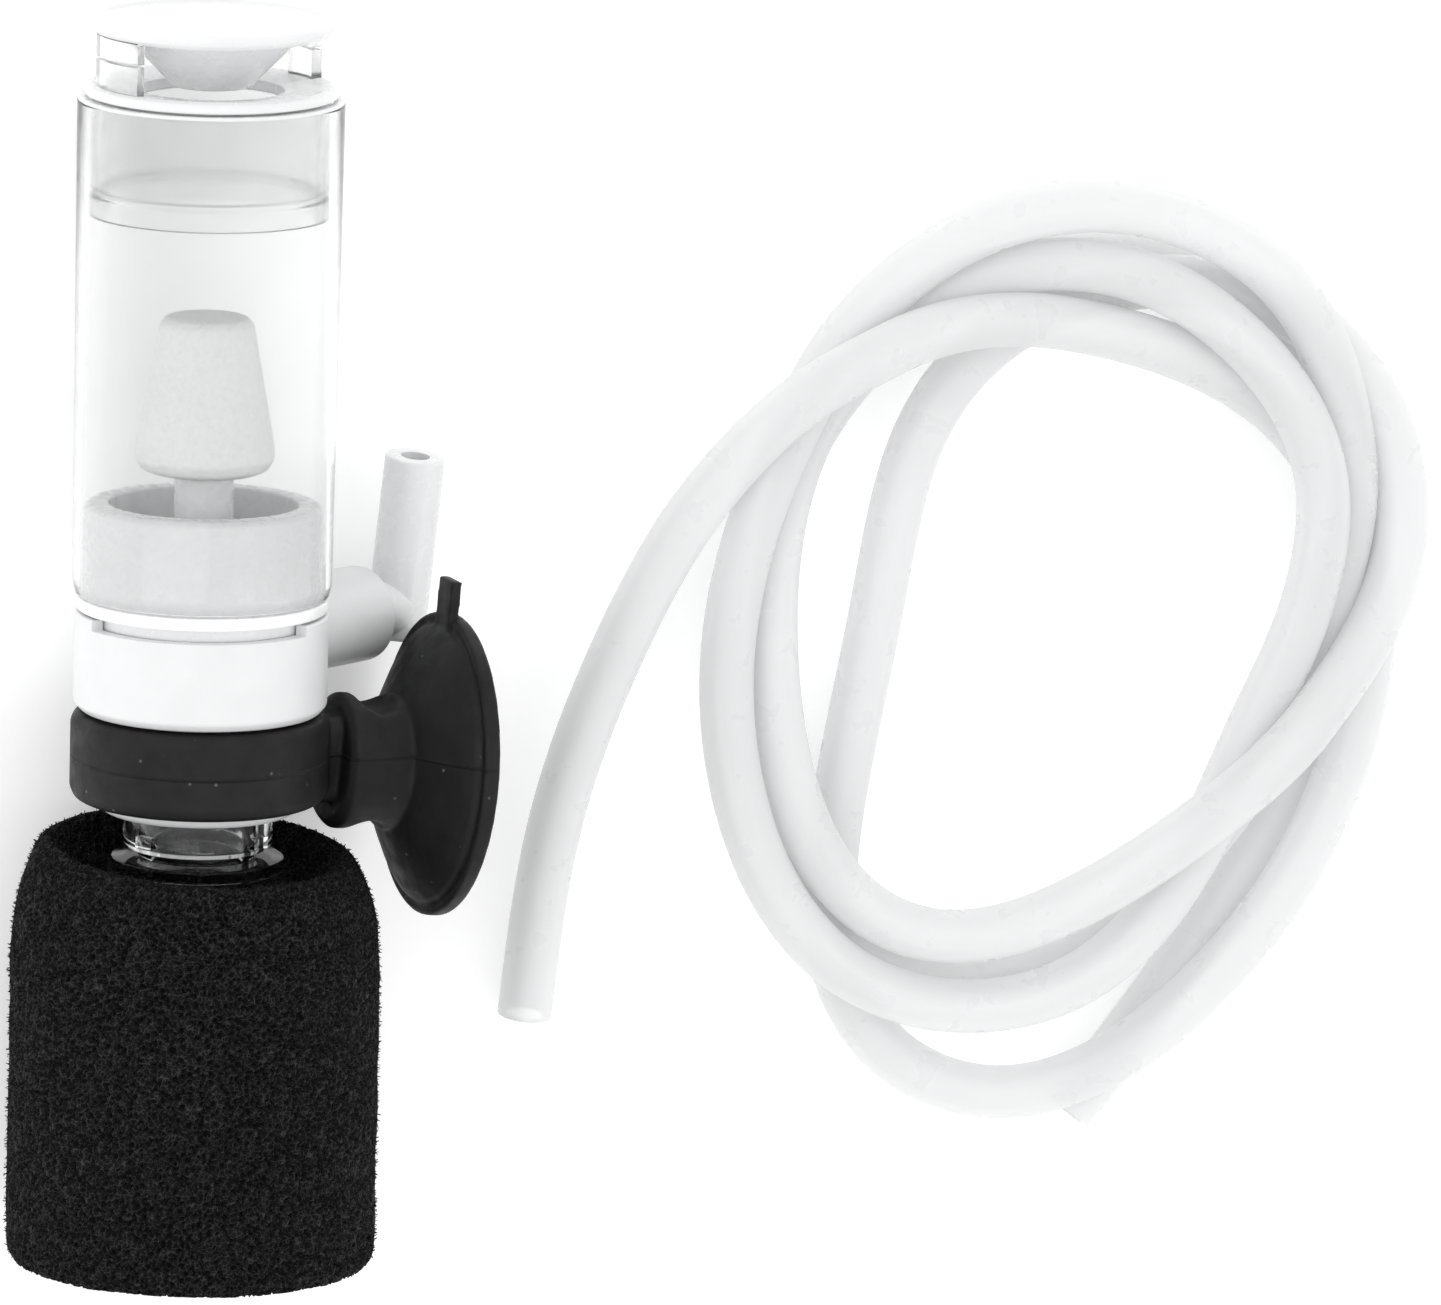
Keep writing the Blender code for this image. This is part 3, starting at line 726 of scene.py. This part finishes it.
def fray(bm, roots, outward, rng):
    """Short struts that stand out of the foam's skin, as short three-sided rods."""
    for at, out in zip(roots, outward):
        lean = rng.normal(0, 0.75, 3)
        along = Vector(out * 0.8 + lean).normalized()
        length = rng.uniform(0.15, 0.45)
        thick = rng.uniform(0.05, 0.085)
        side = along.orthogonal().normalized()
        over = along.cross(side)
        start = Vector(at) - along * STRUT_ROOT
        ends = []
        for reach, size in ((0.0, thick), (length + STRUT_ROOT, thick * 0.7)):
            corners = (side, over * 0.87 - side * 0.5, -over * 0.87 - side * 0.5)
            ends.append([bm.verts.new(start + along * reach + c * size) for c in corners])
        for k in range(3):
            n = (k + 1) % 3
            bm.faces.new((ends[0][k], ends[0][n], ends[1][n], ends[1][k]))
        bm.faces.new(ends[1])
        bm.faces.new(ends[0][::-1])


def add_sponge():
    """A rounded block of open-cell foam, its skin pitted by pores between thin struts."""
    outline = foam_outline()
    around = FOAM_AROUND
    angle = 2 * pi * np.arange(around) / around
    rings = [(r * np.cos(angle), r * np.sin(angle), np.full(around, z)) for r, z in outline[1:]]
    places = np.array([np.stack(ring, 1) for ring in rings]).reshape(-1, 3)
    tangent = np.gradient(outline, axis=0)[1:]
    normal = np.stack([tangent[:, 1], -tangent[:, 0]], 1)
    normal /= np.linalg.norm(normal, axis=1)[:, None]
    out_r = np.repeat(normal[:, 0], around)
    out_z = np.repeat(normal[:, 1], around)
    turn = np.tile(angle, len(rings))
    outward = np.stack([out_r * np.cos(turn), out_r * np.sin(turn), out_z], 1)
    wall = pore_walls(places)
    strut = 1 - np.clip((wall - 0.06) / 0.28, 0, 1)
    strut = strut * strut * (3 - 2 * strut)
    swell = np.array([noise.noise(Vector(p) * 0.22) for p in places])
    lift = np.minimum(0.18 * swell - PORE_DEPTH * (1 - strut) - 0.3, -0.2)
    lean = np.clip((places[:, 2] - 34) / 12, 0, 1) * (1.2 * places[:, 1] - 0.5 * places[:, 0]) / 16
    moved_places = places + outward * lift[:, None]
    moved_places[:, 2] += lean
    bm = bmesh.new()
    verts = [bm.verts.new(p) for p in moved_places]
    count = len(rings)
    for i in range(count - 1):
        for k in range(around):
            n = (k + 1) % around
            a, b = i * around, (i + 1) * around
            bm.faces.new((verts[a + k], verts[a + n], verts[b + n], verts[b + k]))
    foot = bm.verts.new((0, 0, outline[0][1]))
    top = bm.verts.new((0, 0, outline[-1][1] - 0.3))
    for k in range(around):
        n = (k + 1) % around
        bm.faces.new((verts[n], verts[k], foot))
        last = (count - 1) * around
        bm.faces.new((verts[last + k], verts[last + n], top))
    rng = np.random.default_rng(5)
    on_strut = np.flatnonzero((strut > 0.8) & (places[:, 2] > 0.8))
    chosen = rng.choice(on_strut, STRUT_ENDS, replace=False)
    fray(bm, moved_places[chosen], outward[chosen], rng)
    moved(bm, AXIS)
    made = new_piece("foam_block", bm, "foam", open_foam(), ("sponge",), 180)
    # Per-point values for the foam's painted light: 1 on the struts and stray struts as painted highlight,
    # down to 0 in the pores as painted shade.
    painted_strut_light = made.data.attributes.new("painted_strut_light", "FLOAT", "POINT")
    shade = np.ones(len(made.data.vertices), np.float32)
    shade[:len(strut) + 2] = np.r_[strut, 0.0, 0.0]
    painted_strut_light.data.foreach_set("value", shade)


# ---------------------------------------------------------------- the white base

# From here on, sizes are in millimetres and heights are from the foam's end along the filter's axis.
BAND_Z = (61.3, 72.1)
BAND_R = 13.7
BASE_Z = 50.2
SOCKET_AZIMUTH = 30.0
SOCKET_Z = 68.4
SOCKET_R = 5.25
SOCKET_END = 25.9


def add_base():
    """Throat, band, air socket, and the hub that feeds the stone, with a window in the band's rim."""
    low, high = BAND_Z
    profile = [
        (8.5, BASE_Z), (10.2, BASE_Z), (10.6, BASE_Z + 0.4), (10.6, low), (BAND_R - 0.8, low),
        (BAND_R, low + 0.9), (BAND_R, high), (12.3, high), (12.3, low + 2.0), (9.6, low + 0.6),
        (8.5, low - 1.0),
    ]
    out = Vector((cos(radians(SOCKET_AZIMUTH)), sin(radians(SOCKET_AZIMUTH)), 0))
    at = Vector((0, 0, SOCKET_Z))
    boss = rod(at + out * 12.9, at + out * SOCKET_END, SOCKET_R, 64, 0.45)
    hub = turned([(0, 64.8), (3.3, 64.8), (3.3, 73.8), (0, 73.8)], 48, 0.3)
    bar = rod(at, at + out * 13.0, 2.0, 32)
    socket_bore = rod(at + out * 15.7, at + out * (SOCKET_END + 1), 3.2, 48)
    stem_seat = rod((0, 0, 70.0), (0, 0, high + 3), 2.3, 32)
    window = arc_plate(12.0, 15.0, 71.0, high + 1, -110.0, 115.0, 40)
    around_seat = turned([(12.6, high), (14.2, high), (14.2, high + 3), (12.6, high + 3)], 96, 0)
    steps = [("UNION", bar), ("UNION", hub), ("UNION", boss), ("DIFFERENCE", socket_bore)]
    steps += [("DIFFERENCE", stem_seat), ("DIFFERENCE", window), ("DIFFERENCE", around_seat)]
    bm = moved(combined(turned(profile, 160, 0.3), steps), AXIS)
    new_piece("base", bm, "base", white_plastic(), ("base_cup",))


def add_tube_seat():
    """The flange ring and spigot that hold the riser tube."""
    profile = [
        (10.2, 70.8), (12.0, 70.8), (12.0, 72.4), (13.6, 72.4), (13.6, 73.8), (12.9, 73.8), (12.9, 83.6),
        (12.4, 84.2), (10.2, 84.2),
    ]
    bm = moved(turned(profile, 160, 0.3), AXIS)
    new_piece("tube_seat_piece", bm, "base", white_painted_brighter(), ("tube_seat",))


# ---------------------------------------------------------------- the clear tube and what is in it

def add_riser_tube():
    """The clear tube, a little wider towards its outlet end, its two cut ends hazy."""
    low, high = 74.1, 128.2
    profile = [
        (13.2, low), (13.7, low), (14.05, low + 1.4), (14.1, low + 12), (14.25, low + 33),
        (14.4, high - 0.4), (14.05, high), (13.2, high),
    ]
    look = clear_plastic("clear_tube")
    bm = moved(turned(profile, 192, 0.12), AXIS)
    tube = new_piece("clear_tube", bm, "tube", look, ("riser_tube",))
    split_look(tube, frosted_white("tube_rim_plastic"), lambda r, z: z > high - 0.25 or z < low + 0.15)


def add_neck():
    """The short clear neck under the base, with four lugs."""
    low, high = 46.2, 53.5
    profile = [(6.6, low), (7.6, low), (8.1, low + 0.6), (8.1, high), (6.6, high)]
    steps = []
    for k in range(4):
        lug = block((7.4, -1.1, low + 1.0), (9.0, 1.1, low + 2.2))
        steps.append(("UNION", spun(lug, 360 * (k + 0.35) / 4)))
    bm = moved(combined(turned(profile, 96, 0.15), steps), AXIS)
    look = clear_plastic("neck_plastic")
    new_piece("neck", bm, "base", look, ("coupling_neck",))


def add_core():
    """The slotted tube inside the foam; only its flange and spigot can be seen."""
    profile = [
        (0, 8.0), (7.8, 8.0), (7.8, 43.8), (9.4, 43.8), (9.4, 45.2), (6.3, 45.2), (6.3, 49.6), (5.1, 49.6),
        (5.1, 42.6), (6.5, 41.0), (6.5, 9.4), (0, 9.4),
    ]
    steps = []
    for k in range(8):
        slot = block((5.0, -1.1, 13.0), (9.0, 1.1, 38.0))
        steps.append(("DIFFERENCE", spun(slot, 360 * (k + 0.5) / 8)))
    bm = moved(combined(turned(profile, 96, 0.2), steps), AXIS)
    look = clear_plastic("core_plastic")
    new_piece("core_tube", bm, "core", look, ("strainer_core",))


def add_stem():
    """The hollow stem between the base's hub and the air stone."""
    profile = [
        (0.9, 70.3), (2.0, 70.3), (2.0, 74.1), (3.2, 74.1), (3.2, 87.1), (2.0, 87.1), (2.0, 96.0),
        (0.9, 96.0),
    ]
    bm = moved(turned(profile, 64, 0.2), AXIS)
    new_piece("stem", bm, "base", white_painted_brighter(), ("stone_stem",))


def add_stone():
    """The tapered air stone, with a blind bore for its stem."""
    profile = [
        (2.3, 87.5), (5.7, 87.5), (6.9, 88.0), (7.55, 89.2), (7.4, 91.0), (5.1, 103.5), (4.4, 104.3),
        (0, 104.3), (0, 97.0), (2.3, 97.0),
    ]
    bm = moved(turned(profile, 96, 0.35), AXIS)
    new_piece("stone", bm, "stone", sintered_stone(), ("air_stone",))


# ---------------------------------------------------------------- the outlet

# Each post's middle and width in degrees. The collar has its lower part, and the cap its upper part.
POST_ARCS = ((16.0, 22.0), (195.0, 37.0))
POST_R = (11.6, 12.8)


def posts(low, high):
    """The parts of the curved posts between two heights, as solids to be joined on."""
    return [("UNION", arc_plate(*POST_R, low, high, middle, width)) for middle, width in POST_ARCS]


def add_collar():
    """A grooved sleeve inside the tube, a rim that rests on it, and the lower part of the posts."""
    low, rest, top = 115.5, 128.5, 129.7
    profile = [
        (11.8, low), (12.9, low), (12.9, low + 2.2), (12.5, low + 2.4), (12.5, low + 2.9),
        (12.9, low + 3.1), (12.9, rest), (13.65, rest), (13.65, top - 0.7), (13.35, top - 0.25),
        (12.75, top), (7.8, top - 0.6), (7.8, top - 1.8), (11.2, top - 1.8), (11.8, top - 2.4),
    ]
    bm = moved(combined(turned(profile, 192, 0.15), posts(top - 0.7, 132.7)), AXIS)
    look = frosted_white("collar_rim_plastic")
    collar = new_piece("collar", bm, "outlet", look, ("outlet_collar",))
    split_look(collar, milky_clear("collar_plastic"), lambda r, z: z < rest - 0.3 or z > top + 0.05)


def add_cap():
    """The dished cap with its conical underside, and the upper part of the posts."""
    tip, under, top = 129.4, 135.7, 136.9
    profile = [
        (0, tip), (4.1, tip), (4.5, tip + 0.3), (9.5, under - 0.9), (12.6, under - 0.5), (13.2, under),
        (13.35, under + 0.4), (13.35, top - 0.3), (13.0, top), (12.4, top), (11.95, top - 0.45),
        (6.0, top - 0.85), (0, top - 0.95),
    ]
    bm = moved(combined(turned(profile, 192, 0.2), posts(133.0, under + 0.2)), AXIS)
    look = frosted_white("cap_plastic")
    cap = new_piece("cap", bm, "outlet", look, ("deflector_cap",))
    split_look(cap, milky_clear("post_plastic"), lambda r, z: r > 11.4 and z < under - 0.62)


# ---------------------------------------------------------------- the air elbow

ELBOW_SWIVEL = 7.0


def add_elbow():
    """The elbow, built with its socket's axis along X and then turned into the socket."""
    out, below, above, radius = 32.1, 3.3, 17.0, 3.3
    upright = rod((out, 0, -below), (out, 0, above), radius, 64, 0.35)
    steps = [
        ("UNION", rod((SOCKET_END + 0.3, 0, 0), (out, 0, 0), radius - 0.05, 64, 0.2)),
        ("UNION", rod((16.0, 0, 0), (out, 0, 0), 2.9, 64)),
        ("DIFFERENCE", rod((out, 0, -1.6), (out, 0, above + 1), 1.6, 48)),
        ("DIFFERENCE", rod((15.0, 0, 0), (out, 0, 0), 1.5, 48)),
    ]
    bm = combined(upright, steps)
    spin = Matrix.Translation((0, 0, SOCKET_Z)) @ Matrix.Rotation(radians(SOCKET_AZIMUTH), 4, "Z")
    spin = spin @ Matrix.Rotation(radians(ELBOW_SWIVEL), 4, "X")
    look = frosted_white("elbow_plastic")
    new_piece("elbow", moved(bm, AXIS @ spin), "elbow", look, ("air_elbow",))


# ---------------------------------------------------------------- the suction bracket

CLIP_Z = (51.4, 61.0)
ARM_AZIMUTH = 2.0
ARM_DROOP = 5.0


def add_bracket():
    """One rubber moulding: clip ring, arm, scalloped hub and suction cup."""
    half = (CLIP_Z[1] - CLIP_Z[0]) / 2
    ring = [
        (10.9, -half), (12.65, -half), (13.5, 0.4 - half), (13.95, 1.4 - half), (13.95, half - 1.0),
        (13.55, half - 0.2), (12.95, half), (10.9, half),
    ]
    cup = [
        (0, 14.9), (6.6, 14.9), (7.4, 15.7), (7.4, 22.1), (8.6, 22.6), (10.9, 23.8), (13.7, 25.4),
        (15.0, 26.3), (15.2, 26.9), (15.7, 26.9), (16.0, 26.7), (16.5, 27.0), (16.5, 28.3),
        (16.2, 28.6), (14.7, 28.6), (12.8, 27.4), (9.2, 26.1), (5.0, 25.4), (0, 25.2),
    ]
    head = moved(turned(cup, 128, 0.15), Matrix.Rotation(radians(90 + ARM_DROOP), 4, "Y"))
    arm = block((12.35, -4.0, -half), (18.2, 4.0, half))
    along = [e for e in arm.edges if abs((e.verts[0].co - e.verts[1].co).x) > 1.0]
    bmesh.ops.bevel(arm, geom=along, offset=1.6, segments=4, affect="EDGES", profile=0.5)
    moved(arm, Matrix.Rotation(radians(ARM_DROOP * 0.6), 4, "Y"))
    droop = Matrix.Rotation(radians(ARM_DROOP), 4, "Y")
    tab = moved(block((26.4, -2.0, 15.2), (27.6, 2.0, 20.4)), droop)
    steps = [("UNION", arm), ("UNION", head), ("UNION", tab)]
    for side in (1, -1):
        notch = rod((19.2, -9, side * 8.1), (19.2, 9, side * 8.1), 2.4, 48)
        steps.append(("DIFFERENCE", moved(notch, droop)))
    bm = remeshed(combined(turned(ring, 160, 0.2), steps), 0.22, 4)
    middle = sum(CLIP_Z) / 2
    aim = Matrix.Translation((0, 0, middle)) @ Matrix.Rotation(radians(ARM_AZIMUTH), 4, "Z")
    moved(bm, AXIS @ aim)
    look = black_rubber((BASE.y / MM + middle) * MM)
    new_piece("bracket_rubber", bm, "bracket", look, ("suction_bracket",), 180)


# ---------------------------------------------------------------- everything

def main():
    """Sets the studio up and adds every piece."""
    add_camera()
    add_stage()
    bpy.context.scene.view_settings.view_transform = "Standard"
    add_hose()
    add_sponge()
    add_base()
    add_tube_seat()
    add_riser_tube()
    add_neck()
    add_core()
    add_stem()
    add_stone()
    add_collar()
    add_cap()
    add_elbow()
    add_bracket()


main()
